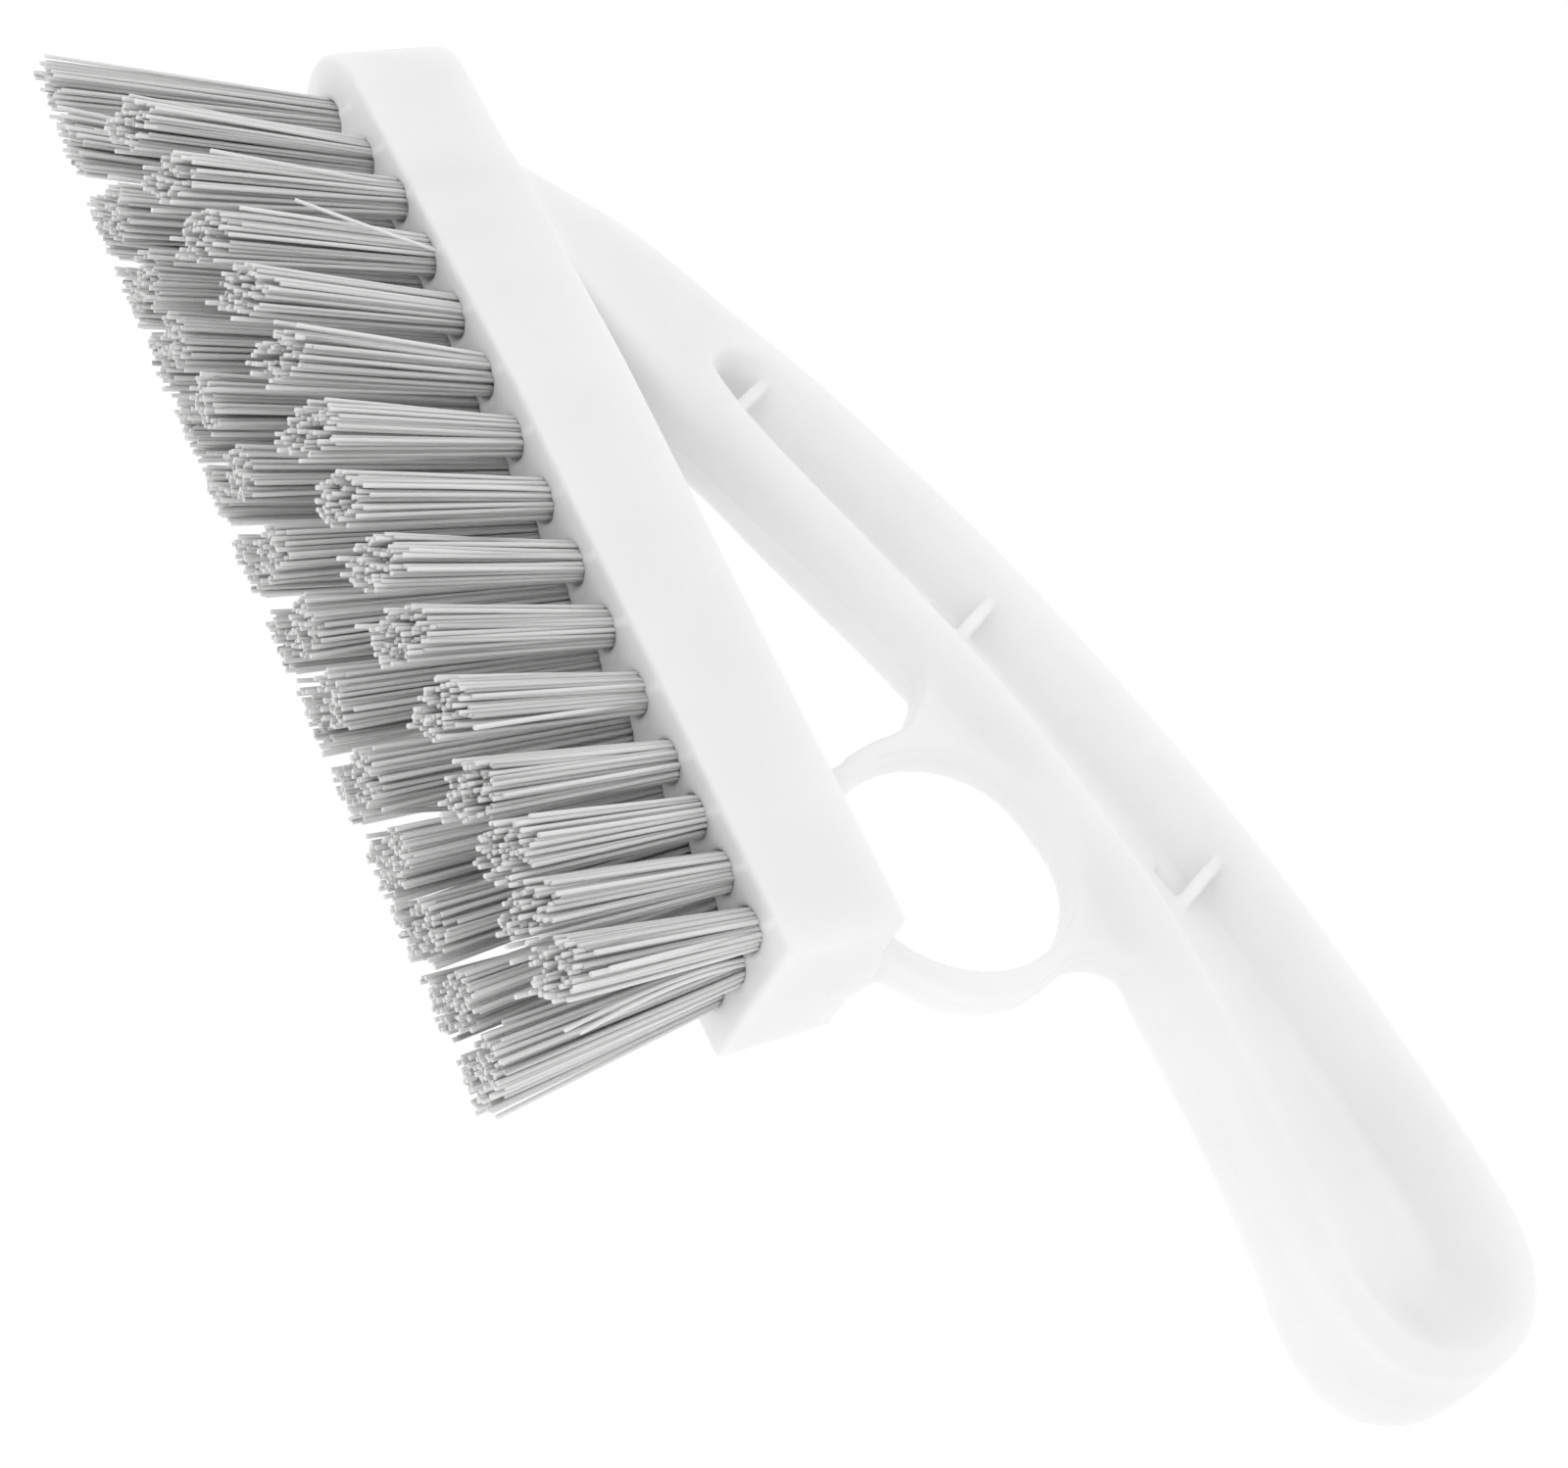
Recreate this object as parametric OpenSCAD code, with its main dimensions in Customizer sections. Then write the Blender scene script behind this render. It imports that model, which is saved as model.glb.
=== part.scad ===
// Grout brush: one white moulding with an arched handle and a finger ring, and 42 tufts of
// bristle, each folded over a flat anchor in its own blind hole. The brush lies on its side.
// X runs from the nose to the grip, Y from the bristle tips to the handle, Z is up.

/* [Block] */
// Length of the bristle block behind the centre of its rounded nose
block_length = 128.6; // [127.6:0.2:131]
// Width of the block, from its lower side face to its upper one
block_width = 24.3; // [24:0.1:26]
// Height of the block, from the bristle face to its top
block_height = 15.6; // [15:0.1:17]
// Radius of the rounded nose
nose_radius = 9.5; // [9.2:0.1:10.4]
// Length over which the nose widens to the full width
nose_taper = 49; // [40:1:60]
// Bevel on the long edges of the block
edge_bevel = 0.8; // [0.4:0.1:1.2]

/* [Tufts] */
// Distance between two columns of tufts
column_pitch = 9.2; // [9:0.05:9.25]
// Distance between the last columns, at the ring end
end_pitch = 7.4; // [7:0.1:7.5]
// Distance between the three rows
row_pitch = 5.9; // [5.8:0.05:6.1]
// Distance between the two tufts of the second column
pair_pitch = 5.8; // [5.7:0.1:6]
// Distance by which the middle row is set towards the ring end
row_stagger = 0.8; // [0:0.1:1]
// Diameter of a tuft hole
hole_diameter = 5.3; // [5:0.1:5.4]
// Depth of a tuft hole
hole_depth = 10; // [8:0.5:11]
// Height of the middle bristles from the bristle face
bristle_length = 33; // [28:0.5:34]
// Height by which the dome of bristle tips falls away to its upper and lower side
trim_drop = 4; // [0:0.5:5]
// Thickness of one strand, over its corners
strand_size = 1.1; // [0.8:0.05:1.15]
// Clearance of a tuft root in its hole, on the radius
root_clearance = 0.1; // [0.05:0.05:0.15]

/* [Anchors] */
// Length of an anchor across its hole
anchor_length = 6.3; // [5.8:0.1:6.4]
// Width of the anchor wire, along the hole
anchor_width = 1.8; // [1.4:0.1:2.2]
// Thickness of the anchor wire
anchor_thickness = 0.4; // [0.3:0.05:0.5]
// Angle of the anchors to the width of the block
anchor_angle = 25; // [22:1:32]
// Clearance of an anchor in the slit that it cut and in its tuft
anchor_clearance = 0.06; // [0.04:0.01:0.1]

/* [Handle] */
// Width of the handle, from side to side
handle_width = 14.4; // [12:0.2:16]
// Thickness of the web between the two hollowed sides
web_thickness = 4; // [3:0.2:5]
// Thickness of a rib across the hollow
rib_thickness = 2; // [1.6:0.2:3.2]
// Height of a rib above the web
rib_height = 3; // [2:0.2:3.8]

/* [Ring] */
// Diameter of the finger hole
ring_hole = 29.8; // [28:0.2:30]
// Thickness of the ring plate
ring_thickness = 5.8; // [5:0.2:8]

/* [Hidden] */
// Middle of the whole brush, along X from the nose centre and along Y from the bristle face
middle_x = 87.99;
middle_y = 21.58;
mid_z = block_width / 2;
sink = 0.5;
over = 1;
column_count = 15;
even_columns = 12;
first_column = -1.5;
nose_round = 2.5;
end_draft = 0.6;

root_radius = hole_diameter / 2 - root_clearance;
root_top = hole_depth - root_clearance;
fold = 1;
slot_clearance = 2 * anchor_clearance;
ring_strands = 8;
strand_circle = 1.85;
strand_spread = 1.5;
// Lean of the last column and its change towards the nose, in the lower, middle and upper row
end_angle = [6.5, 8, 7];
fan_angle = [31.5, 28, 16];
fan_power = [0.8, 1, 1.2];
nose_angle = 4;
upper_angle = 15;
lower_angle = 5;
trim_reach = 14.5;

pocket_depth = (handle_width - web_thickness) / 2;
// Centre of the finger hole, from the nose centre and from the bristle face
ring_centre = [117.6, 32.1];

// Outline of the handle's top, from the root in the block round the end of the grip
top_points = [
    [13, 14], [14.4, 17.2], [17.2, 21.3], [21.1, 25.6], [26.4, 29.7], [32.5, 33.2],
    [38.6, 36.4], [50.6, 43.1], [62.4, 48.6], [79.6, 55.9], [96.2, 61.5], [112.4, 66.2],
    [128, 69.9], [143.2, 72.7], [158, 74.7], [172, 76.1], [177, 76.3], [181.4, 75.9],
    [185.5, 74.7], [189.7, 71.9], [192.4, 68.6], [194, 64.8], [194.6, 61], [194.4, 57.5],
    [193.5, 54.3]];
// Outline of the handle's underside, back from the grip to the root
under_points = [
    [191.9, 51.5], [189.9, 49.6], [187.4, 48.2], [184.4, 47.3], [180.8, 46.8], [177, 46.9],
    [170, 47.7], [162.5, 48.4], [154.8, 48.8], [147, 48.9], [139, 49], [133.3, 49.4],
    [122.2, 48.8], [115.1, 48], [105.8, 46], [100, 44], [92.4, 41], [83, 37.4], [74.9, 34],
    [67, 30.8], [58.4, 27.5], [44, 20.4], [31, 14]];
// Edge of the hollow at the handle's side, from the neck along the top and back
hollow_rim = [
    [47.6, 37.8], [51.3, 40.2], [59, 43.6], [69.3, 48.1], [91.7, 57], [112.7, 63.2],
    [133.5, 68], [153.3, 71.2], [171.8, 73.2], [176.9, 73.4], [181.5, 72.9], [186.4, 70.8],
    [189.5, 67.8], [191.3, 63.8], [191.6, 60.2], [189.4, 57.2], [186.6, 54.6], [182.4, 53],
    [169, 52.9], [153.4, 55.3], [140, 57.1], [132, 57.2], [124, 56.2], [114, 53.6],
    [106.5, 51.6], [84.8, 44.5], [58.9, 34.2], [50.4, 30.4], [46.6, 30.6], [45.2, 33.6]];
// Edge of the hollow's floor, point for point below it
hollow_floor = [
    [49.4, 34.6], [53.7, 35.8], [60.9, 39], [71.3, 43.6], [93.3, 52.2], [114, 58.4],
    [134.5, 63], [154, 66.2], [172.2, 68.2], [176.8, 68.4], [180.5, 68], [183.2, 66.2],
    [184.2, 64.2], [184.7, 62.1], [184.9, 60.2], [184.6, 58.4], [183.2, 56], [180.6, 54.4],
    [169.1, 53.6], [153.5, 56], [140, 57.8], [132, 57.9], [123.9, 56.9], [113.8, 54.3],
    [106.3, 52.3], [84.6, 45.2], [58.6, 34.8], [50.1, 31], [48, 31.6], [47.6, 33]];
// Outline of the ring plate, from the block's top up the nose side and down the grip side
ring_points = [
    [104.4, 14], [102.7, 22.6], [101.5, 25.3], [100.4, 29.2], [99.5, 33.7], [97, 37],
    [93.2, 40.2], [88, 43], [116, 52], [146, 54], [143.4, 50.6], [136.8, 48.6], [134.6, 46.4],
    [133.2, 43.7], [133.1, 40.4], [134.4, 37.1], [135.5, 32.7], [135.1, 27.4], [133.2, 22.9],
    [130.4, 19.9], [127.8, 17.2], [127.4, 14]];
// Place of each rib along the handle, and its slant from the vertical
ribs = [[49.5, 12], [87.8, 8], [127.8, -8]];

// Smooth curve through the points of an outline, with a number of steps between two points
function spline(a, b, c, d, t) =
    ((2 * b) + (c - a) * t + (2 * a - 5 * b + 4 * c - d) * t * t
        + (3 * b - a - 3 * c + d) * t * t * t) / 2;
function smooth(points, steps) = [
    for (i = [0 : len(points) - 2], s = [0 : steps - 1])
        spline(points[max(i - 1, 0)], points[i], points[i + 1],
            points[min(i + 2, len(points) - 1)], s / steps),
    points[len(points) - 1]];

// A tuft's column and its row: 1 is the upper row, 0 the middle one and -1 the lower one
function column(tuft) = tuft == 1 ? 1 : tuft < 4 ? 2 : 3 + floor((tuft - 4) / 3);
function row(tuft) = tuft == 1 ? 0 : tuft < 4 ? 5 - 2 * tuft : 1 - (tuft - 4) % 3;
function row_z(tuft) =
    mid_z + row(tuft) * (column(tuft) == 2 ? pair_pitch / 2 : row_pitch);
function column_x(n) =
    first_column + column_pitch * (min(n, even_columns) - 1)
        + end_pitch * max(n - even_columns, 0);
function hole_x(tuft) =
    column_x(column(tuft)) + (tuft > 3 && row(tuft) == 0 ? row_stagger : 0);

// Lean of a tuft towards the grip, and towards the upper side
function fan(tuft) =
    let (at = row(tuft) + 1)
    end_angle[at] + sin(tuft * 97) - (tuft == 1 ? nose_angle : 0)
        - fan_angle[at] * pow((column_count - column(tuft)) / (column_count - 1), fan_power[at]);
function splay(tuft) =
    row(tuft) == 1 ? upper_angle + sin(tuft * 67) - (column(tuft) < 5 ? 5 : 0)
        : row(tuft) == -1 ? -lower_angle : tuft == 1 ? -8 : 1.5 * sin(tuft * 131);

// Height of a bristle's tip, from the tuft and the tip's distance to the tuft's own middle
function tip_height(tuft, aside) =
    bristle_length - trim_drop * pow(
        (row_z(tuft) - mid_z + bristle_length * tan(splay(tuft)) + aside) / trim_reach, 2);

// Everything is drawn from the nose centre and the bristle face, then set on the shared origin
module placed() {
    translate([-middle_x, -middle_y, 0]) children();
}

// A side outline, drawn in X and Y, with a width across the brush about its middle
module slab(points, width) {
    translate([0, 0, mid_z - width / 2])
        linear_extrude(width) polygon(points);
}

module block() {
    half = block_width / 2;
    turn = atan((half - nose_radius) / nose_taper);
    intersection() {
        translate([0, block_height, mid_z]) rotate([90, 0, 0]) linear_extrude(block_height)
            polygon([
                for (a = [90 + turn : 10 : 269 - turn])
                    nose_radius * [cos(a), sin(a)],
                nose_radius * [cos(270 - turn), sin(270 - turn)],
                [nose_taper, -half], [block_length, -half],
                [block_length, half], [nose_taper, half]]);
        slab([
            [-nose_radius, 0], [block_length, 0], [block_length - end_draft, block_height],
            for (a = [90 : 22.5 : 180])
                [nose_round - nose_radius, block_height - nose_round]
                    + nose_round * [cos(a), sin(a)]], block_width);
        translate([-nose_radius, 0, mid_z]) rotate([90, 0, 90])
            linear_extrude(nose_radius + block_length)
            polygon([
                [edge_bevel, -half], [block_height - edge_bevel, -half],
                [block_height, edge_bevel - half], [block_height, half - edge_bevel],
                [block_height - edge_bevel, half], [edge_bevel, half],
                [0, half - edge_bevel], [0, edge_bevel - half]]);
    }
}

// The root of the handle, whose sides slope in from the block's sides to the handle's
module root() {
    side = nose_radius + 0.8;
    inner = handle_width / 2;
    foot = block_height - sink;
    intersection() {
        slab([[13.9, foot], [15, block_height], [16.8, 19.2], [20.5, 22.6], [36, 22.6],
            [36, foot]], block_width);
        translate([0, 0, mid_z]) rotate([90, 0, 90]) linear_extrude(40)
            polygon([
                [foot, -side], [block_height, -side], [block_height + 5.4, -inner - 0.4],
                [24, -inner], [24, inner], [block_height + 5.4, inner + 0.4],
                [block_height, side], [foot, side]]);
    }
}

// The hollow of one side, whose walls slope down from its edge to its floor, and the low ribs
// that are left standing across the floor
module hollow() {
    low = smooth(hollow_floor, 2);
    high = smooth(hollow_rim, 2);
    count = len(low);
    half = (count - 1) / 2;
    up = [count, count, count];
    depth = pocket_depth + over;
    translate([0, 0, mid_z + web_thickness / 2])
        difference() {
            polyhedron(
                points = [
                    for (p = low) [p[0], p[1], 0],
                    for (i = [0 : count - 1])
                        let (p = low[i] + (high[i] - low[i]) * depth / pocket_depth)
                        [p[0], p[1], depth]],
                faces = [
                    for (i = [0 : half - 1]) [count - 1 - i, i + 1, i],
                    for (i = [0 : half - 2]) [count - 1 - i, count - 2 - i, i + 1],
                    for (i = [0 : half - 1]) [i, i + 1, count - 1 - i] + up,
                    for (i = [0 : half - 2]) [i + 1, count - 2 - i, count - 1 - i] + up,
                    for (i = [0 : count - 1]) [i + count, i, (i + 1) % count],
                    for (i = [0 : count - 1])
                        [i + count, (i + 1) % count, (i + 1) % count + count]]);
            for (r = ribs)
                translate([r[0], 0]) rotate(r[1])
                    translate([-rib_thickness / 2, 10, -over])
                    cube([rib_thickness, 70, over + rib_height]);
        }
}

module handle() {
    difference() {
        slab(concat(smooth(top_points, 2), smooth(under_points, 2)), handle_width);
        hollow();
        translate([0, 0, 2 * mid_z]) mirror([0, 0, 1]) hollow();
    }
}

module ring_plate() {
    slab(smooth(ring_points, 2), ring_thickness);
}

// Blind holes of the tufts, and the slits that the anchors cut as they were driven in
module tuft_holes() {
    slit = [anchor_thickness + 2 * anchor_clearance, root_top - fold + anchor_clearance + over,
        anchor_length + 2 * anchor_clearance];
    for (k = [1 : 3 * column_count - 3])
        translate([hole_x(k), 0, row_z(k)]) {
            translate([0, -over, 0]) rotate([-90, 0, 0])
                cylinder(r = hole_diameter / 2, h = hole_depth + over, $fn = 24);
            rotate([0, anchor_angle, 0])
                translate([-slit[0] / 2, -over, -slit[2] / 2]) cube(slit);
        }
}

module moulding() {
    color([0.93, 0.94, 0.93]) placed()
        difference() {
            union() {
                block();
                root();
                handle();
                ring_plate();
            }
            translate([ring_centre[0], ring_centre[1], 0])
                cylinder(d = ring_hole, h = block_width, $fn = 96);
            tuft_holes();
        }
}

// One flat anchor in the bottom of each hole
module anchors() {
    color([0.72, 0.62, 0.36]) placed()
        for (k = [1 : 3 * column_count - 3])
            translate([hole_x(k), root_top - fold - anchor_width, row_z(k)])
                rotate([0, anchor_angle, 0])
                translate([-anchor_thickness / 2, 0, -anchor_length / 2])
                cube([anchor_thickness, anchor_width, anchor_length]);
}

// A straight strand from one point to another, four-sided
module strand(from, to) {
    way = to - from;
    translate(from)
        rotate([0, acos(way[2] / norm(way)), atan2(way[1], way[0])])
        cylinder(d = strand_size, h = norm(way), $fn = 4);
}

// A tuft: the folded root in its hole, with the slot for the anchor, and its strands
module tuft(k) {
    way = [tan(fan(k)), -1, tan(splay(k))];
    slot = [anchor_thickness + 2 * slot_clearance, anchor_width + 2 * slot_clearance,
        hole_diameter + over];
    color([0.80, 0.80, 0.79]) placed()
        translate([hole_x(k), 0, row_z(k)]) {
            difference() {
                rotate([-90, 0, 0]) cylinder(r = root_radius, h = root_top, $fn = 12);
                rotate([0, anchor_angle, 0])
                    translate([-slot[0] / 2, root_top - fold - anchor_width - slot_clearance,
                        -slot[2] / 2]) cube(slot);
            }
            strand([0, sink, 0], way * tip_height(k, 0));
            for (a = [0 : 360 / ring_strands : 359]) {
                foot = strand_circle * [cos(a), 0, sin(a)];
                spread = strand_spread * foot;
                strand([foot[0], sink / 2, foot[2]], way * tip_height(k, spread[2]) + spread);
            }
        }
}

moulding();
anchors();
tuft(1);  // tuft_01
tuft(2);  // tuft_02
tuft(3);  // tuft_03
tuft(4);  // tuft_04
tuft(5);  // tuft_05
tuft(6);  // tuft_06
tuft(7);  // tuft_07
tuft(8);  // tuft_08
tuft(9);  // tuft_09
tuft(10);  // tuft_10
tuft(11);  // tuft_11
tuft(12);  // tuft_12
tuft(13);  // tuft_13
tuft(14);  // tuft_14
tuft(15);  // tuft_15
tuft(16);  // tuft_16
tuft(17);  // tuft_17
tuft(18);  // tuft_18
tuft(19);  // tuft_19
tuft(20);  // tuft_20
tuft(21);  // tuft_21
tuft(22);  // tuft_22
tuft(23);  // tuft_23
tuft(24);  // tuft_24
tuft(25);  // tuft_25
tuft(26);  // tuft_26
tuft(27);  // tuft_27
tuft(28);  // tuft_28
tuft(29);  // tuft_29
tuft(30);  // tuft_30
tuft(31);  // tuft_31
tuft(32);  // tuft_32
tuft(33);  // tuft_33
tuft(34);  // tuft_34
tuft(35);  // tuft_35
tuft(36);  // tuft_36
tuft(37);  // tuft_37
tuft(38);  // tuft_38
tuft(39);  // tuft_39
tuft(40);  // tuft_40
tuft(41);  // tuft_41
tuft(42);  // tuft_42
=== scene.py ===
import math
import bpy
import numpy as np
from mathutils import Matrix, Vector


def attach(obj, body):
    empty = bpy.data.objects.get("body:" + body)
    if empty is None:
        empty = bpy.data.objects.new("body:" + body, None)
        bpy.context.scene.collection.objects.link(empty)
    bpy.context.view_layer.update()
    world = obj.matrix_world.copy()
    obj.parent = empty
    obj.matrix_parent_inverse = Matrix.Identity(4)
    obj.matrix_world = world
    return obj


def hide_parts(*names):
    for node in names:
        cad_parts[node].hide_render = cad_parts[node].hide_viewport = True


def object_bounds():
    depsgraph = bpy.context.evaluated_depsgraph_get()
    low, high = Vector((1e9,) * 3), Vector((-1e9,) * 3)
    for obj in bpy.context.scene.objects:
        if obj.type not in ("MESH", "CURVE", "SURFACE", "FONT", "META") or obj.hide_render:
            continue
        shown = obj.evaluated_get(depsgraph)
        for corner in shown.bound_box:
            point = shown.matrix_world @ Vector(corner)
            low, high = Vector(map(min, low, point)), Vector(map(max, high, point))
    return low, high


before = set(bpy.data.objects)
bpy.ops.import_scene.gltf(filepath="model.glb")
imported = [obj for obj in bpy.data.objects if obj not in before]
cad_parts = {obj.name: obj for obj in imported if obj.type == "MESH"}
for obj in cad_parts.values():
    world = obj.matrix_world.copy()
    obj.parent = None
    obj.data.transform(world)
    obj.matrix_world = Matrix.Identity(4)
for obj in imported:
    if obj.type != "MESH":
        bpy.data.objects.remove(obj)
cad_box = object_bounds()
MM = 0.001

# ---------------------------------------------------------------- layout, as in the part
MIDDLE_X, MIDDLE_Y = 87.99, 21.58
BLOCK_LENGTH, BLOCK_WIDTH, BLOCK_HEIGHT = 128.6, 24.3, 15.6
NOSE_RADIUS, NOSE_TAPER = 9.5, 49.0
MID = BLOCK_WIDTH / 2
HOLE_R, HOLE_DEPTH = 2.65, 10.0
COLUMN_PITCH, END_PITCH, END_FROM = 9.2, 7.4, 12     # the columns from END_FROM on are closer
ROW_PITCH, PAIR_PITCH, FIRST_HOLE, STAGGER = 5.9, 2.9, -1.5, 0.8
BRISTLE, TRIM_DROP, TRIM_REACH = 33.0, 4.0, 14.5
END_ANGLE, FAN_ANGLE, FAN_POWER = (6.5, 8, 7), (31.5, 28, 16), (0.8, 1, 1.2)  # far to near row
UPPER_ANGLE, LOWER_ANGLE = 15, 5
ANCHOR_ANGLE = 25.0
HANDLE_WIDTH, WEB = 14.4, 4.0
RING_CENTRE, RING_R, RING_THICK = (117.6, 32.1), 14.9, 5.8

# outlines of the handle, its hollow, and the ring plate, as seen from the side
TOP = [(13, 14), (14.4, 17.2), (17.2, 21.3), (21.1, 25.6), (26.4, 29.7), (32.5, 33.2),
       (38.6, 36.4), (50.6, 43.1), (62.4, 48.6), (79.6, 55.9), (96.2, 61.5), (112.4, 66.2),
       (128, 69.9), (143.2, 72.7), (158, 74.7), (172, 76.1), (177, 76.3), (181.4, 75.9),
       (185.5, 74.7), (189.7, 71.9), (192.4, 68.6), (194, 64.8), (194.6, 61), (194.4, 57.5),
       (193.5, 54.3)]
UNDER = [(191.9, 51.5), (189.9, 49.6), (187.4, 48.2), (184.4, 47.3), (180.8, 46.8), (177, 46.9),
         (170, 47.7), (162.5, 48.4), (154.8, 48.8), (147, 48.9), (139, 49), (133.3, 49.4),
         (122.2, 48.8), (115.1, 48), (105.8, 46), (100, 44), (92.4, 41), (83, 37.4), (74.9, 34),
         (67, 30.8), (58.4, 27.5), (44, 20.4), (31, 14)]
HOLLOW_RIM = [(47.6, 37.8), (51.3, 40.2), (59, 43.6), (69.3, 48.1), (91.7, 57), (112.7, 63.2),
              (133.5, 68), (153.3, 71.2), (171.8, 73.2), (176.9, 73.4), (181.5, 72.9),
              (186.4, 70.8), (189.5, 67.8), (191.3, 63.8), (191.6, 60.2), (190.2, 56),
              (186.8, 52.8), (181, 50.9), (169, 50.4), (153, 51.6), (140, 52.1), (131, 51.8),
              (121, 50.3), (113.7, 49), (100.3, 46.4), (84.8, 41.6), (60, 32.8),
              (50.4, 30.4), (46.6, 30.6), (45.2, 33.6)]
HOLLOW_FLOOR = [(49.4, 34.6), (53.7, 35.8), (60.9, 39), (71.3, 43.6), (93.3, 52.2), (114, 58.4),
                (134.5, 63), (154, 66.2), (172.2, 68.2), (176.8, 68.4), (180.5, 68),
                (183.2, 66.2), (184.2, 64.2), (184.7, 62.1), (184.9, 60.2), (184.2, 59.6),
                (182.8, 61.6), (180.6, 64.8), (177, 66.6), (172, 66.7), (154, 64.8),
                (134.5, 61.6), (114, 57), (93.3, 50.8), (71.5, 42.2), (61, 37.6),
                (54, 34.5), (50.2, 33.4), (48.6, 33.2), (48.4, 33.9)]
RING = [(104.4, 14), (102.7, 22.6), (101.5, 25.3), (100.4, 29.2), (99.5, 33.7), (97, 37),
        (93.2, 40.2), (88, 43), (116, 52), (146, 54), (143.4, 50.6), (136.8, 48.6),
        (134.6, 46.4), (133.2, 43.7), (133.1, 40.4), (134.4, 37.1), (135.5, 32.7),
        (135.1, 27.4), (133.2, 22.9), (130.4, 19.9), (127.8, 17.2), (127.4, 14)]
# each rib's middle, its slant, and how far above its middle its pocket reaches
RIBS = [(50.8, 36, 30, -1), (87.4, 50.5, 30, -0.5), (129, 59.5, 28, 2)]
RIB_THICK, RIB_HEIGHT = 1.7, 3.4

# radii of the moulding's edges and fillets, where the CAD is crisp
CORNER_R, BLOCK_EDGE_R, NOSE_TOP_R = 0.8, 0.6, 1.6
UPPER_EDGE_R, LOWER_EDGE_ADD = 1.1, 2.6
HOLLOW_BOTTOM_R, HOLLOW_RIM_R = 1.3, 0.5
ROOT_EDGE_R, PLATE_EDGE_R, BORE_EDGE_R = 2.2, 0.9, 0.7
ROOT_FILLET, BLOCK_FILLET, PLATE_FILLET = 3.0, 1.2, 3.2
BEAD_HEIGHT, BEAD_HALF = 0.13, 0.6
MARK_HEIGHT, MARK_HALF, MARK_REACH = 0.16, 0.7, 6.4

# bristles
FILAMENTS, FILAMENT_R, STRAY_R = 74, 0.295, 0.26
PACKING_R = HOLE_R - 0.48
SPREAD = {1: 1.5, 0: 1.5, -1: 1.65}


def column(k):
    """Column of a tuft: one at the nose, a pair, then columns of three."""
    return 1 if k == 1 else 2 if k < 4 else 3 + (k - 4) // 3


def row(k):
    """Row of a tuft: 1 near the viewer, 0 in the middle, -1 far."""
    return 0 if k == 1 else 5 - 2 * k if k < 4 else 1 - (k - 4) % 3


def hole(k):
    """Middle of a tuft's hole on the bristle face."""
    n = column(k)
    x = FIRST_HOLE + COLUMN_PITCH * (min(n, END_FROM) - 1) + END_PITCH * max(n - END_FROM, 0)
    if k > 3 and row(k) == 0:
        x += STAGGER
    z = MID + row(k) * (PAIR_PITCH if n == 2 else ROW_PITCH)
    return x, z


def sind(a):
    return math.sin(math.radians(a))


def lean(k):
    """Way from a tuft's hole to the middle of its tips, per millimetre of height."""
    at = row(k) + 1
    u = (15 - column(k)) / 14
    fan = END_ANGLE[at] + sind(k * 97) - (4 if k == 1 else 0) \
        - FAN_ANGLE[at] * u ** FAN_POWER[at]
    if row(k) == 1:
        splay = UPPER_ANGLE + sind(k * 67) - (5 if column(k) < 5 else 0)
    elif row(k) == -1:
        splay = -LOWER_ANGLE
    else:
        splay = -8 if k == 1 else 1.5 * sind(k * 131)
    return np.array([math.tan(math.radians(fan)), -1.0, math.tan(math.radians(splay))])


TUFTS = range(1, 43)

# ---------------------------------------------------------------- distance fields


def spline(points, steps):
    """Smooth line through the points, with so many steps between each two."""
    p = np.array(points, float)
    out = []
    for i in range(len(p) - 1):
        a, b, c, d = p[max(i - 1, 0)], p[i], p[i + 1], p[min(i + 2, len(p) - 1)]
        for s in range(steps):
            t = s / steps
            out.append((2 * b + (c - a) * t + (2 * a - 5 * b + 4 * c - d) * t * t
                        + (3 * b - a - 3 * c + d) * t ** 3) / 2)
    out.append(p[-1])
    return np.array(out)


def polygon_field(poly, u, v):
    """Signed distance from each (u, v) to a closed outline, negative inside."""
    dist = np.full(u.shape, 1e9)
    inside = np.zeros(u.shape, bool)
    a = np.array(poly, float)
    b = np.roll(a, -1, axis=0)
    for (ax, ay), (bx, by) in zip(a, b):
        ex, ey = bx - ax, by - ay
        wx, wy = u - ax, v - ay
        t = np.clip((wx * ex + wy * ey) / max(ex * ex + ey * ey, 1e-12), 0, 1)
        dist = np.minimum(dist, (wx - ex * t) ** 2 + (wy - ey * t) ** 2)
        if ay != by:
            hit = ((ay > v) != (by > v)) & (u < (bx - ax) * (v - ay) / (by - ay) + ax)
            inside ^= hit
    dist = np.sqrt(dist)
    return np.where(inside, -dist, dist)


def line_field(points, u, v):
    """Distance from each (u, v) to an open line."""
    dist = np.full(u.shape, 1e9)
    for (ax, ay), (bx, by) in zip(points[:-1], points[1:]):
        ex, ey = bx - ax, by - ay
        t = np.clip(((u - ax) * ex + (v - ay) * ey) / max(ex * ex + ey * ey, 1e-12), 0, 1)
        dist = np.minimum(dist, np.hypot(u - ax - ex * t, v - ay - ey * t))
    return dist


def both(a, b, r):
    """Overlap of two fields, its outer edge rounded to radius r."""
    ua, ub = np.maximum(r + a, 0), np.maximum(r + b, 0)
    return np.minimum(-r, np.maximum(a, b)) + np.sqrt(ua * ua + ub * ub)


def join(a, b, r):
    """Union of two fields, with a fillet of radius r in the corner between them."""
    ua, ub = np.maximum(r - a, 0), np.maximum(r - b, 0)
    return np.maximum(r, np.minimum(a, b)) - np.sqrt(ua * ua + ub * ub)


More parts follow.
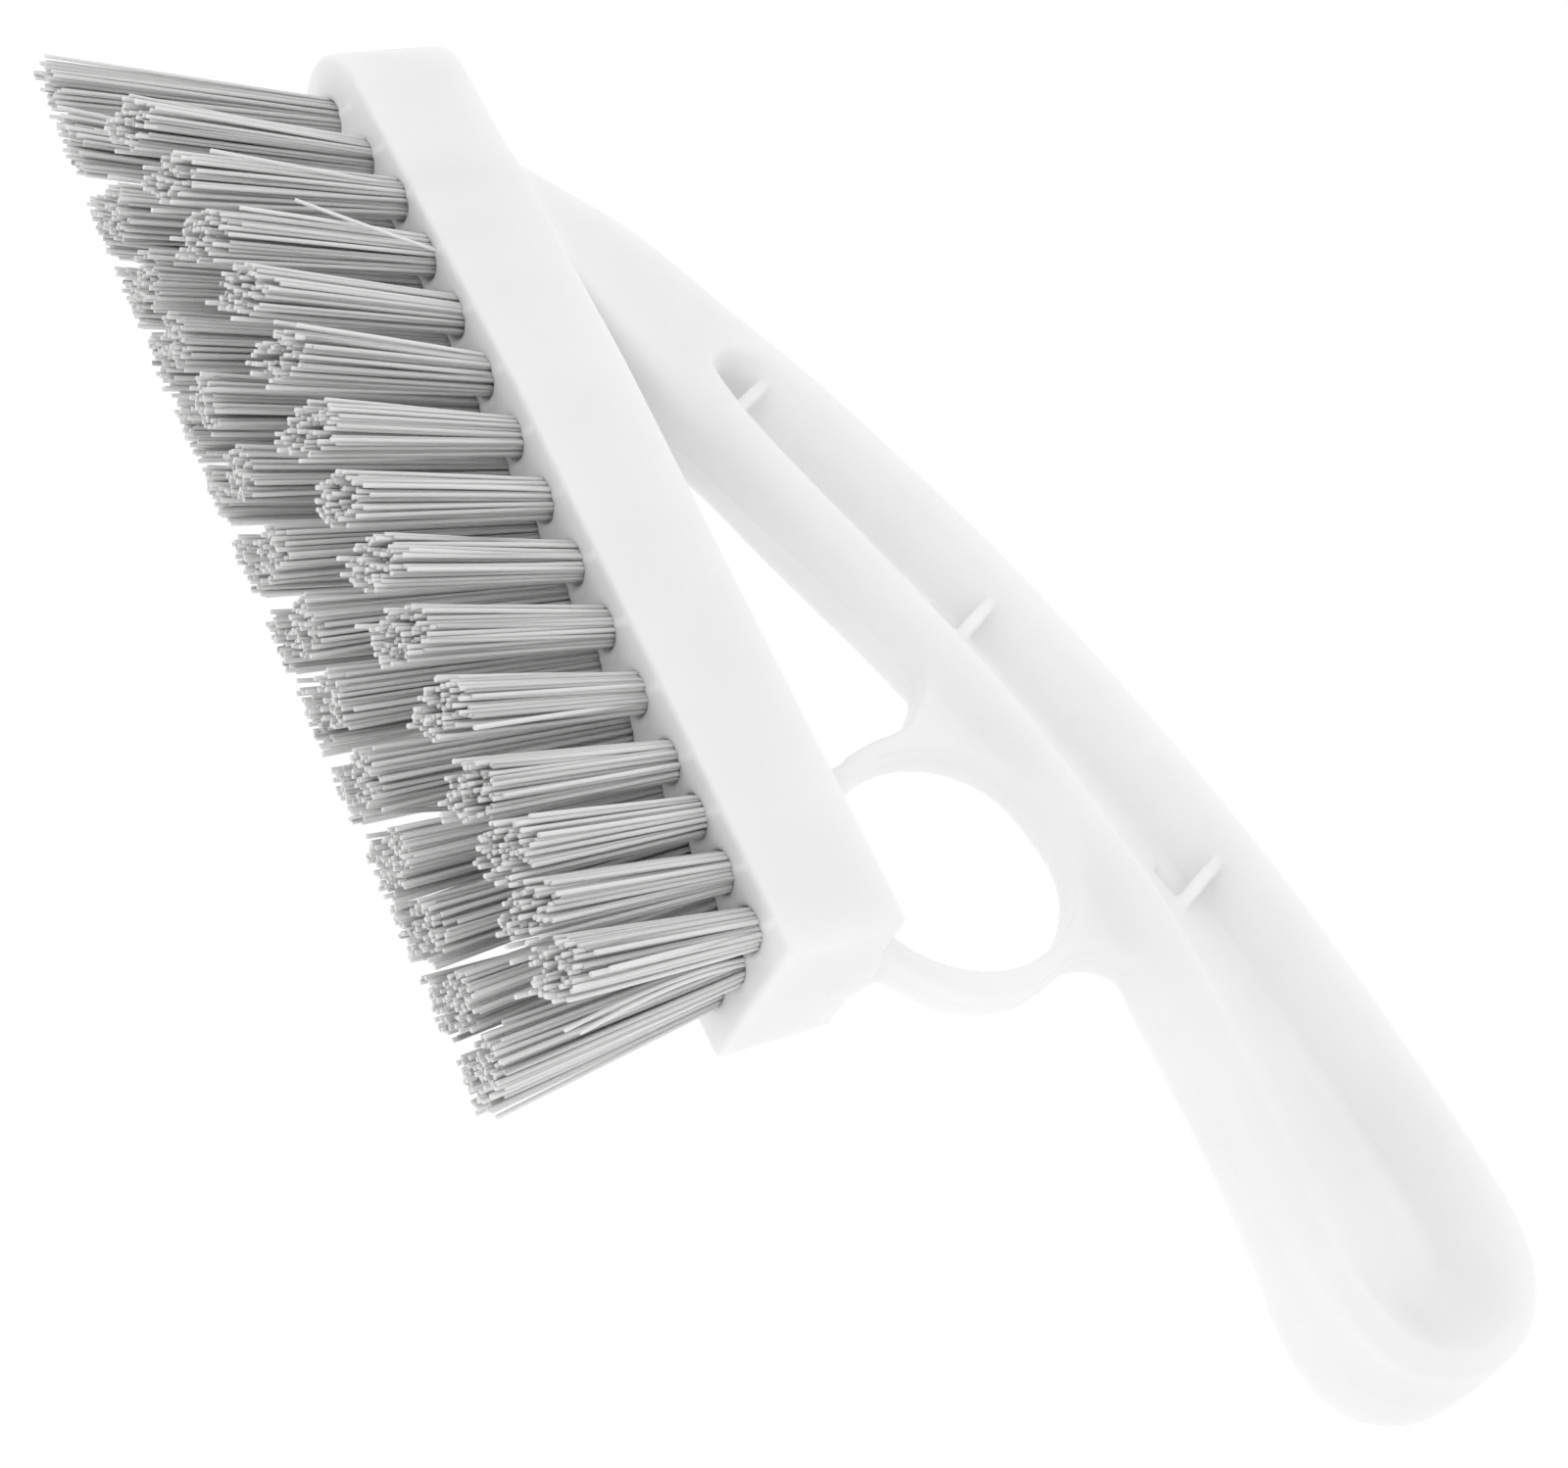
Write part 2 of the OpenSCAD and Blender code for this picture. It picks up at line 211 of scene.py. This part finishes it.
def surface_net(field, low, step):
    """Quad mesh of the field's zero surface, one vertex in each cell that it crosses."""
    shape = np.array(field.shape)
    neg = field < 0
    cells, places, quads, flips = [], [], [], []
    for axis in range(3):
        cut = [slice(None)] * 3
        cut2 = [slice(None)] * 3
        cut[axis], cut2[axis] = slice(0, -1), slice(1, None)
        n0, n1 = neg[tuple(cut)], neg[tuple(cut2)]
        at = np.argwhere(n0 != n1)
        f0 = field[tuple(cut)][tuple(at.T)]
        f1 = field[tuple(cut2)][tuple(at.T)]
        point = at.astype(float)
        point[:, axis] += f0 / (f0 - f1)
        b, c = (axis + 1) % 3, (axis + 2) % 3
        ring = []
        for db, dc in ((0, 0), (1, 0), (1, 1), (0, 1)):
            cell = at.copy()
            cell[:, b] -= db
            cell[:, c] -= dc
            ring.append(cell)
            cells.append(cell)
            places.append(point)
        quads.append(np.stack(ring, 1))
        flips.append(n0[tuple(at.T)])
    cells = np.concatenate(cells)
    places = np.concatenate(places)
    flat = (cells[:, 0] * shape[1] + cells[:, 1]) * shape[2] + cells[:, 2]
    keys, index = np.unique(flat, return_inverse=True)
    total = np.zeros((len(keys), 3))
    count = np.bincount(index, minlength=len(keys)).astype(float)
    for a in range(3):
        total[:, a] = np.bincount(index, weights=places[:, a], minlength=len(keys))
    verts = total / count[:, None] * step + np.array(low)
    faces = []
    for quad, flip in zip(quads, flips):
        q = (quad[..., 0] * shape[1] + quad[..., 1]) * shape[2] + quad[..., 2]
        q = np.searchsorted(keys, q)
        q[~flip] = q[~flip][:, ::-1]
        faces.append(q)
    return verts, np.concatenate(faces)


def mesh_object(name, verts, faces, smooth=True):
    """A mesh from points in millimetres, set on the shared origin."""
    pts = np.array(verts, dtype=np.float64)
    pts = (pts - np.array([MIDDLE_X, MIDDLE_Y, 0])) * MM
    me = bpy.data.meshes.new(name)
    faces = np.asarray(faces)
    me.vertices.add(len(pts))
    me.vertices.foreach_set("co", pts.ravel())
    n = faces.shape[1]
    me.loops.add(faces.size)
    me.loops.foreach_set("vertex_index", faces.ravel().astype(np.int32))
    me.polygons.add(len(faces))
    me.polygons.foreach_set("loop_start", np.arange(0, faces.size, n, dtype=np.int32))
    me.polygons.foreach_set("loop_total", np.full(len(faces), n, np.int32))
    me.update(calc_edges=True)
    me.validate()
    me.polygons.foreach_set("use_smooth", np.full(len(faces), smooth))
    ob = bpy.data.objects.new(name, me)
    bpy.context.scene.collection.objects.link(ob)
    return ob


# ---------------------------------------------------------------- the moulding

STEP = 0.42     # grid of the distance field


def moulding():
    """Mesh of the moulding, and how pale each of its points is: anchor whitening and painted
    highlight.
    """
    low = np.array([-NOSE_RADIUS - 1, -1.0, -1.0])
    high = np.array([195.5, 76.5, BLOCK_WIDTH + 1])
    n = np.ceil((high - low) / STEP).astype(int) + 1
    x = (low[0] + STEP * np.arange(n[0]))[:, None, None]
    y = (low[1] + STEP * np.arange(n[1]))[None, :, None]
    z = (low[2] + STEP * np.arange(n[2]))[None, None, :]
    x2, y2 = np.meshgrid(x.ravel(), y.ravel(), indexing="ij")
    off = np.abs(z - MID)

    # the bristle block: its plan, its side profile, and soft edges all round
    half = BLOCK_WIDTH / 2
    turn = math.degrees(math.atan((half - NOSE_RADIUS) / NOSE_TAPER))
    arc = [(NOSE_RADIUS * math.cos(math.radians(a)), NOSE_RADIUS * math.sin(math.radians(a)))
           for a in np.linspace(90 + turn, 270 - turn, 40)]
    plan = arc + [(NOSE_TAPER, -half), (BLOCK_LENGTH + 5, -half), (BLOCK_LENGTH + 5, half),
                  (NOSE_TAPER, half)]
    px, pz = np.meshgrid(x.ravel(), (z - MID).ravel(), indexing="ij")
    plan = polygon_field(plan, px, pz)[:, None, :]
    lean_out = (x - BLOCK_LENGTH + 0.6 * y / BLOCK_HEIGHT)
    lid = both(y - BLOCK_HEIGHT, -NOSE_RADIUS - x, NOSE_TOP_R)
    side = np.maximum(lid, -y)
    block = both(both(plan, lean_out, CORNER_R), side, BLOCK_EDGE_R)

    # the handle: an arched slab, its lower edges rounder than its upper ones and the butt's,
    # with the bead of the parting line along its underside
    outline = np.concatenate([spline(TOP, 6), spline(UNDER, 6)])
    out = polygon_field(outline, x2, y2) + 0.04
    lower = np.clip(0.5 + (line_field(spline(TOP, 3), x2, y2)
                           - line_field(spline(UNDER, 3), x2, y2)) / 6, 0, 1)
    grip = np.clip((187 - x2) / 14, 0, 1)
    edge = (UPPER_EDGE_R + LOWER_EDGE_ADD * lower * grip)[:, :, None]
    bead = BEAD_HEIGHT * np.clip(1 - off / BEAD_HALF, 0, 1) * (grip * lower)[:, :, None]
    out = out[:, :, None] + 0.035 * off - bead
    handle = both(out, off - HANDLE_WIDTH / 2, edge)

    # its hollow on each side, whose wall slopes from the rim down to the floor
    rim = polygon_field(spline(HOLLOW_RIM, 4), x2, y2)
    floor_line = polygon_field(spline(HOLLOW_FLOOR, 4), x2, y2)
    deep = HANDLE_WIDTH / 2 - WEB / 2
    run = np.maximum(floor_line - rim, 0.3)
    down = np.clip((HANDLE_WIDTH / 2 - off) / deep, -0.3, 1.2)
    wall = (rim[:, :, None] * (1 - down) + floor_line[:, :, None] * down)
    wall = wall / np.sqrt(1 + (run / deep) ** 2)[:, :, None]
    hollow = both(wall, WEB / 2 - off, HOLLOW_BOTTOM_R)
    handle = both(handle, -hollow, HOLLOW_RIM_R)

    # low ribs across the bottom of the hollow, each with a small pocket on its neck side
    for rx, ry, slant, top in RIBS:
        c, s = math.cos(math.radians(slant)), math.sin(math.radians(slant))
        along = (x2 - rx) * c + (y2 - ry) * s
        up = (y2 - ry) * c - (x2 - rx) * s
        pocket = np.maximum(np.abs(along + 2.6) - 2.2, np.abs(up - top + 2.5) - 2.5)
        pocket = both(np.maximum(pocket, rim + 1.2)[:, :, None], WEB / 2 + 0.9 - off, 0.5)
        handle = both(handle, -pocket, 0.4)
        bar = both((np.abs(along) - RIB_THICK / 2)[:, :, None], off - WEB / 2 - RIB_HEIGHT, 0.5)
        handle = join(handle, np.maximum(bar, rim[:, :, None] + 0.6), 0.5)

    # the root, where the block's sides run into the handle's
    slope = (plan + 0.4 + (y - BLOCK_HEIGHT) * 0.72) / 1.23
    root = both(slope, out + 0.1, ROOT_EDGE_R)

    # the ring plate and the finger hole
    ring2 = polygon_field(spline(RING, 6), x2, y2)[:, :, None]
    plate = both(ring2, off - RING_THICK / 2, PLATE_EDGE_R)

    body = join(handle, root, ROOT_FILLET)
    body = join(block, body, BLOCK_FILLET)
    body = join(body, plate, PLATE_FILLET)
    rx, ry = RING_CENTRE
    bore = np.sqrt((x2 - rx) ** 2 + (y2 - ry) ** 2)[:, :, None] - RING_R
    body = both(body, -bore, BORE_EDGE_R)

    # the tuft holes
    for k in TUFTS:
        hx, hz = hole(k)
        i = slice(*np.searchsorted(x.ravel(), [hx - 4, hx + 4]))
        m = slice(*np.searchsorted(z.ravel(), [hz - 4, hz + 4]))
        j = slice(0, np.searchsorted(y.ravel(), HOLE_DEPTH + 1))
        r = np.sqrt((x[i] - hx) ** 2 + (z[:, :, m] - hz) ** 2) - HOLE_R
        r = np.maximum(r, y[:, j] - HOLE_DEPTH)
        body[i, j, m] = np.maximum(body[i, j, m], -r)

    # the mark beside each hole, raised a little where its anchor's driver went in; its pale
    # colour is partly a painted highlight
    turn = math.radians(ANCHOR_ANGLE)
    marks = []
    for k in TUFTS:
        hx, hz = hole(k)
        half = NOSE_RADIUS + (MID - NOSE_RADIUS) * min(max(hx / NOSE_TAPER, 0), 1)
        reach = min(MARK_REACH, (MID + half - 1.0 - hz) / math.cos(turn))
        if reach < HOLE_R + 0.5:
            continue
        mark = [(hx + math.sin(turn) * d, hz + math.cos(turn) * d) for d in (HOLE_R, reach)]
        marks.append(mark)
        i = slice(*np.searchsorted(x.ravel(), [hx - 1, hx + 8]))
        m = slice(*np.searchsorted(z.ravel(), [hz - 1, hz + 8]))
        j = slice(0, np.searchsorted(y.ravel(), 0.9))
        mx, mz = np.meshgrid(x[i].ravel(), z[:, :, m].ravel(), indexing="ij")
        rise = MARK_HEIGHT * np.clip(1 - line_field(mark, mx, mz) / MARK_HALF, 0, 1)
        body[i, j, m] -= rise[:, None, :]
    verts, faces = surface_net(body.astype(np.float32), low, STEP)
    # how far each point takes the pale colour, which is partly whitened plastic and partly a
    # painted highlight
    pale = np.zeros(len(verts))
    low_verts = verts[:, 1] < 0.5
    for mark in marks:
        away = line_field(mark, verts[low_verts, 0], verts[low_verts, 2])
        pale[low_verts] = np.maximum(pale[low_verts], np.clip(1.1 - away / 0.6, 0, 1))
    return verts, faces, pale


# ---------------------------------------------------------------- bristles


def filament(base, mid, tip, radius, sides=6, rings=4):
    """Points of one round filament bent towards a middle point.

    The last ring comes twice, so that the cut end has its own points.
    """
    t = np.linspace(0, 1, rings)[:, None]
    line = (1 - t) ** 2 * base + 2 * t * (1 - t) * mid + t ** 2 * tip
    d = np.gradient(line, axis=0)
    d /= np.linalg.norm(d, axis=1)[:, None]
    u = np.cross(d, [0.31, 0.12, 0.94])
    u /= np.linalg.norm(u, axis=1)[:, None]
    v = np.cross(d, u)
    a = 2 * math.pi * np.arange(sides) / sides
    ring = np.cos(a)[None, :, None] * u[:, None] + np.sin(a)[None, :, None] * v[:, None]
    pts = line[:, None] + radius * ring
    return np.concatenate([pts.reshape(-1, 3), pts[-1], tip[None]])


def filament_faces(sides=6, rings=4):
    """Quads of its side, and the cut end as quads from the middle of the tip."""
    out = []
    for i in range(rings - 1):
        for k in range(sides):
            a, b = i * sides + k, i * sides + (k + 1) % sides
            out.append((b, a, a + sides, b + sides))
    end = rings * sides
    for k in range(0, sides, 2):
        out.append((end + sides, end + (k + 2) % sides, end + (k + 1) % sides, end + k))
    return np.array(out)


# single bristles that stray across their tuft, as tuft: foot, point bent towards, and tip
STRAYS = {
    7: [((27.7, 3, 19.9), (27.4, -8, 25.6), (20.6, -16.8, 24.9))],
    41: [((123.6, 2, 13.9), (125.5, -9.0, 20.4), (128.8, -26.1, 19.0)),
         ((123.9, 2, 13.3), (125.8, -9.5, 19.8), (129.5, -24.5, 19.0))]}


def tuft(k):
    """The filaments of one tuft: packed in the hole, spread, and trimmed to a dome."""
    rng = np.random.default_rng(7000 + k)
    hx, hz = hole(k)
    hub = np.array([hx, 0, hz])
    way = lean(k)
    side = row(k)
    pts, faces, tone, cut = [], [], [], []

    def add(base, mid, tip, radius, rings=4, painted_light_tone=None):
        p = filament(base, mid, tip, radius, rings=rings)
        faces.append(filament_faces(rings=rings) + sum(len(q) for q in pts))
        pts.append(p)
        tone.append(np.full(len(p), rng.uniform(0, 1) if painted_light_tone is None else painted_light_tone))
        cut.append(np.arange(len(p)) >= len(p) - 7)

    high = np.array(cad_box[1]) / MM + [MIDDLE_X, MIDDLE_Y, 0] - 0.4
    low = np.array(cad_box[0]) / MM + [MIDDLE_X, MIDDLE_Y, 0] + 0.4
    for i in range(FILAMENTS):
        r = PACKING_R * math.sqrt((i + 0.5) / FILAMENTS)
        a = i * 2.399963 + rng.normal(0, 0.12)
        foot = np.array([r * math.cos(a), 0, r * math.sin(a)])
        spread = foot * (SPREAD[side] + rng.normal(0, 0.08)) \
            + rng.normal(0, 0.22, 3) * [1, 0, 1]
        if rng.random() < 0.06:
            spread += rng.normal(0, 1.1, 3) * [1, 0, 1]
        off = hz - MID + BRISTLE * way[2] + spread[2]
        height = BRISTLE - TRIM_DROP * (off / TRIM_REACH) ** 2
        height -= 0.25 * max(side, 0) * spread[2]
        height -= rng.uniform(0, 1.9) + (rng.uniform(0.5, 2.2) if rng.random() < 0.08 else 0)
        tip = hub + way * height + spread
        tip = np.clip(tip, low + rng.uniform(0, 0.4, 3), high)
        start = hub + foot + [0, 3.0, 0]
        mid = (start + tip) / 2 + foot * 0.05 + rng.normal(0, 0.08, 3) * [1, 0, 1]
        add(start, mid, tip, FILAMENT_R * rng.uniform(0.94, 1.06))
    for base, mid, tip in STRAYS.get(k, []):
        # the strays get a set lighter tone: painted light for the light they catch in front of
        # their tuft
        add(*[np.array(q, float) for q in (base, mid, tip)], STRAY_R, rings=10, painted_light_tone=1.3)
    ob = mesh_object("tuft_%02d_filaments" % k, np.concatenate(pts), np.concatenate(faces))
    for name, values in (("tone", tone), ("cut", cut)):
        layer = ob.data.attributes.new(name, "FLOAT", "POINT")
        layer.data.foreach_set("value", np.concatenate(values).astype(np.float32))
    return ob


# ---------------------------------------------------------------- materials


def material(name, base, rough):
    """A new material with its node tree and its shader."""
    m = bpy.data.materials.new(name)
    m.use_nodes = True
    nt = m.node_tree
    bsdf = nt.nodes["Principled BSDF"]
    bsdf.inputs["Base Color"].default_value = (*base, 1)
    bsdf.inputs["Roughness"].default_value = rough
    return m, nt, bsdf


def node(nt, kind, **values):
    """A new node, with values for its sockets or its own settings."""
    n = nt.nodes.new(kind)
    for key, value in values.items():
        if key in n.inputs:
            n.inputs[key].default_value = value
        else:
            setattr(n, key, value)
    return n


def plastic():
    """White moulded plastic of the body."""
    m, nt, bsdf = material("white_plastic", (0.81, 0.81, 0.81), 0.42)
    bsdf.inputs["IOR"].default_value = 1.49
    bsdf.inputs["Subsurface Weight"].default_value = 0.5
    bsdf.inputs["Subsurface Radius"].default_value = (1.0, 1.0, 1.0)
    bsdf.inputs["Subsurface Scale"].default_value = 0.005
    bsdf.inputs["Specular IOR Level"].default_value = 0.45
    link = nt.links.new
    co = node(nt, "ShaderNodeTexCoord")
    # faint flow marks and cloudiness of the moulding
    cloud = node(nt, "ShaderNodeTexNoise", Scale=38.0, Detail=4.0, Roughness=0.55)
    link(co.outputs["Object"], cloud.inputs["Vector"])
    ramp = node(nt, "ShaderNodeValToRGB")
    ramp.color_ramp.elements[0].position = 0.3
    ramp.color_ramp.elements[0].color = (0.795, 0.795, 0.795, 1)
    ramp.color_ramp.elements[1].position = 0.7
    ramp.color_ramp.elements[1].color = (0.83, 0.83, 0.83, 1)
    link(cloud.outputs["Fac"], ramp.inputs["Fac"])
    # a few small dark specks in the plastic
    cell = node(nt, "ShaderNodeTexVoronoi", Scale=150.0)
    link(co.outputs["Object"], cell.inputs["Vector"])
    speck = node(nt, "ShaderNodeMapRange")
    speck.inputs["From Min"].default_value = 0.012
    speck.inputs["From Max"].default_value = 0.024
    speck.inputs["To Min"].default_value = 1.0
    speck.inputs["To Max"].default_value = 0.0
    link(cell.outputs["Distance"], speck.inputs["Value"])
    rare = node(nt, "ShaderNodeMath", operation="GREATER_THAN")
    rare.inputs[1].default_value = 0.9
    sep = node(nt, "ShaderNodeSeparateColor")
    link(cell.outputs["Color"], sep.inputs["Color"])
    link(sep.outputs["Red"], rare.inputs[0])
    amount = node(nt, "ShaderNodeMath", operation="MULTIPLY")
    link(speck.outputs["Result"], amount.inputs[0])
    link(rare.outputs["Value"], amount.inputs[1])
    mix = node(nt, "ShaderNodeMix", data_type="RGBA")
    link(amount.outputs["Value"], mix.inputs["Factor"])
    link(ramp.outputs["Color"], mix.inputs["A"])
    mix.inputs["B"].default_value = (0.32, 0.31, 0.29, 1)
    # paler beside each hole: plastic whitened where the anchors cut in, and a painted highlight
    # on the raised mark
    mark = node(nt, "ShaderNodeAttribute", attribute_name="mark")
    pale = node(nt, "ShaderNodeMix", data_type="RGBA")
    link(mark.outputs["Fac"], pale.inputs["Factor"])
    link(mix.outputs["Result"], pale.inputs["A"])
    pale.inputs["B"].default_value = (0.92, 0.92, 0.92, 1)
    link(pale.outputs["Result"], bsdf.inputs["Base Color"])
    # the parting line at mid width, and a fine moulded grain
    place = node(nt, "ShaderNodeSeparateXYZ")
    link(co.outputs["Object"], place.inputs["Vector"])
    away = node(nt, "ShaderNodeMath", operation="SUBTRACT")
    link(place.outputs["Z"], away.inputs[0])
    away.inputs[1].default_value = MID * MM
    size = node(nt, "ShaderNodeMath", operation="ABSOLUTE")
    link(away.outputs["Value"], size.inputs[0])
    line = node(nt, "ShaderNodeMapRange", interpolation_type="SMOOTHSTEP")
    line.inputs["From Min"].default_value = 0.0
    line.inputs["From Max"].default_value = 0.00028
    line.inputs["To Min"].default_value = 1.0
    line.inputs["To Max"].default_value = 0.0
    link(size.outputs["Value"], line.inputs["Value"])
    grain = node(nt, "ShaderNodeTexNoise", Scale=900.0, Detail=3.0, Roughness=0.6)
    link(co.outputs["Object"], grain.inputs["Vector"])
    wave = node(nt, "ShaderNodeTexNoise", Scale=60.0, Detail=2.0, Roughness=0.5)
    link(co.outputs["Object"], wave.inputs["Vector"])
    bump = node(nt, "ShaderNodeBump", Strength=0.35, Distance=0.00012)
    link(line.outputs["Result"], bump.inputs["Height"])
    bump2 = node(nt, "ShaderNodeBump", Strength=0.08, Distance=0.0001)
    link(grain.outputs["Fac"], bump2.inputs["Height"])
    link(bump.outputs["Normal"], bump2.inputs["Normal"])
    bump3 = node(nt, "ShaderNodeBump", Strength=0.12, Distance=0.0006)
    link(wave.outputs["Fac"], bump3.inputs["Height"])
    link(bump2.outputs["Normal"], bump3.inputs["Normal"])
    link(bump3.outputs["Normal"], bsdf.inputs["Normal"])
    rough = node(nt, "ShaderNodeMapRange")
    rough.inputs["To Min"].default_value = 0.36
    rough.inputs["To Max"].default_value = 0.5
    link(cloud.outputs["Fac"], rough.inputs["Value"])
    link(rough.outputs["Result"], bsdf.inputs["Roughness"])
    return m


def bristle():
    """Greyish white bristles, each with its own tone."""
    m, nt, bsdf = material("grey_bristle", (0.62, 0.62, 0.615), 0.5)
    bsdf.inputs["IOR"].default_value = 1.5
    bsdf.inputs["Specular IOR Level"].default_value = 0.3
    bsdf.inputs["Subsurface Weight"].default_value = 0.5
    bsdf.inputs["Subsurface Radius"].default_value = (1.0, 1.0, 1.0)
    bsdf.inputs["Subsurface Scale"].default_value = 0.0015
    link = nt.links.new
    tone = node(nt, "ShaderNodeAttribute", attribute_name="tone")
    co = node(nt, "ShaderNodeTexCoord")
    streak = node(nt, "ShaderNodeTexNoise", Scale=120.0, Detail=1.0)
    squash = node(nt, "ShaderNodeMapping")
    squash.inputs["Scale"].default_value = (1.0, 0.12, 1.0)
    link(co.outputs["Object"], squash.inputs["Vector"])
    link(squash.outputs["Vector"], streak.inputs["Vector"])
    add = node(nt, "ShaderNodeMath", operation="ADD")
    link(tone.outputs["Fac"], add.inputs[0])
    link(streak.outputs["Fac"], add.inputs[1])
    ramp = node(nt, "ShaderNodeValToRGB")
    ramp.color_ramp.elements[0].position = 0.3
    ramp.color_ramp.elements[0].color = (0.645, 0.645, 0.64, 1)
    ramp.color_ramp.elements[1].position = 1.0
    ramp.color_ramp.elements[1].color = (0.785, 0.785, 0.78, 1)
    half = node(nt, "ShaderNodeMath", operation="MULTIPLY")
    half.inputs[1].default_value = 0.5
    link(add.outputs["Value"], half.inputs[0])
    link(half.outputs["Value"], ramp.inputs["Fac"])
    cut = node(nt, "ShaderNodeAttribute", attribute_name="cut")
    pale = node(nt, "ShaderNodeMix", data_type="RGBA")
    link(cut.outputs["Fac"], pale.inputs["Factor"])
    link(ramp.outputs["Color"], pale.inputs["A"])
    pale.inputs["B"].default_value = (0.66, 0.66, 0.655, 1)
    link(pale.outputs["Result"], bsdf.inputs["Base Color"])
    bump = node(nt, "ShaderNodeBump", Strength=0.1, Distance=0.00005)
    link(streak.outputs["Fac"], bump.inputs["Height"])
    link(bump.outputs["Normal"], bsdf.inputs["Normal"])
    return m


def wire():
    """Drawn metal of the anchors."""
    m, nt, bsdf = material("anchor_wire", (0.7, 0.7, 0.72), 0.35)
    bsdf.inputs["Metallic"].default_value = 1.0
    link = nt.links.new
    co = node(nt, "ShaderNodeTexCoord")
    drawn = node(nt, "ShaderNodeTexNoise", Scale=700.0, Detail=3.0)
    link(co.outputs["Object"], drawn.inputs["Vector"])
    bump = node(nt, "ShaderNodeBump", Strength=0.3, Distance=0.00003)
    link(drawn.outputs["Fac"], bump.inputs["Height"])
    link(bump.outputs["Normal"], bsdf.inputs["Normal"])
    return m


# ---------------------------------------------------------------- the pieces

white = plastic()
verts, faces, pale = moulding()
body = mesh_object("moulding_skin", verts, faces)
layer = body.data.attributes.new("mark", "FLOAT", "POINT")
layer.data.foreach_set("value", pale.astype(np.float32))
body.data.materials.append(white)
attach(body, "root")
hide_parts("moulding")

hair = bristle()
for k in TUFTS:
    ob = tuft(k)
    ob.data.materials.append(hair)
    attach(ob, "root")
    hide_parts("tuft_%02d" % k)

metal = wire()
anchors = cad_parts["anchors"]
for s in anchors.material_slots:
    s.material = metal
if not anchors.material_slots:
    anchors.data.materials.append(metal)

# ---------------------------------------------------------------- camera, floor and light

# the camera that was fitted to the photo's outlines, in pixels of its 1600 across
RIGHT = (0.4089258, 0.8420625, 0.3517251)
DOWN = (0.8191488, -0.1688301, -0.5481712)
AHEAD = (-0.4022126, 0.5122765, -0.7588134)
EYE = ((264.8759 - 8 - MIDDLE_X) * MM, (-185.0347 - MIDDLE_Y) * MM, 315.7308 * MM)
cam = bpy.data.cameras.new("camera")
cam.sensor_fit = "HORIZONTAL"
cam.sensor_width = 36.0
cam.lens = 3504.164 / 1600 * cam.sensor_width
cam.clip_start, cam.clip_end = 0.01, 10.0
eye = bpy.data.objects.new("camera", cam)
turn = Matrix((RIGHT, [-c for c in DOWN], [-c for c in AHEAD])).transposed()
eye.matrix_world = Matrix.Translation(EYE) @ turn.to_4x4()
bpy.context.scene.collection.objects.link(eye)
bpy.context.scene.camera = eye

me = bpy.data.meshes.new("floor")
me.from_pydata([(-3, -3, 0), (3, -3, 0), (3, 3, 0), (-3, 3, 0)], [], [(0, 1, 2, 3)])
floor = bpy.data.objects.new("floor", me)
floor.location.z = -0.0005
bpy.context.scene.collection.objects.link(floor)
ground, gnt, gb = material("pale_floor", (0.25, 0.25, 0.25), 0.9)
gb.inputs["Specular IOR Level"].default_value = 0.1
gb.inputs["Emission Color"].default_value = (1, 1, 1, 1)
gb.inputs["Emission Strength"].default_value = 0.88
me.materials.append(ground)

world = bpy.data.worlds.new("studio")
bpy.context.scene.world = world
world.use_nodes = True
world.node_tree.nodes["Background"].inputs["Color"].default_value = (1, 1, 1, 1)
world.node_tree.nodes["Background"].inputs["Strength"].default_value = 0.97


def area(name, at, to, size, power):
    data = bpy.data.lights.new(name, "AREA")
    data.shape = "RECTANGLE"
    data.size, data.size_y = size
    data.energy = power
    ob = bpy.data.objects.new(name, data)
    ob.location = at
    ob.rotation_euler = (Vector(to) - Vector(at)).to_track_quat("-Z", "Y").to_euler()
    bpy.context.scene.collection.objects.link(ob)


area("back", (0.05, 0.70, 0.40), (0, 0, 0.01), (0.8, 0.5), 0.6)
area("front", (-0.05, -0.60, 0.42), (0, 0, 0.01), (0.9, 0.5), 0.5)

scene = bpy.context.scene
scene.view_settings.view_transform = "Standard"
scene.view_settings.look = "None"
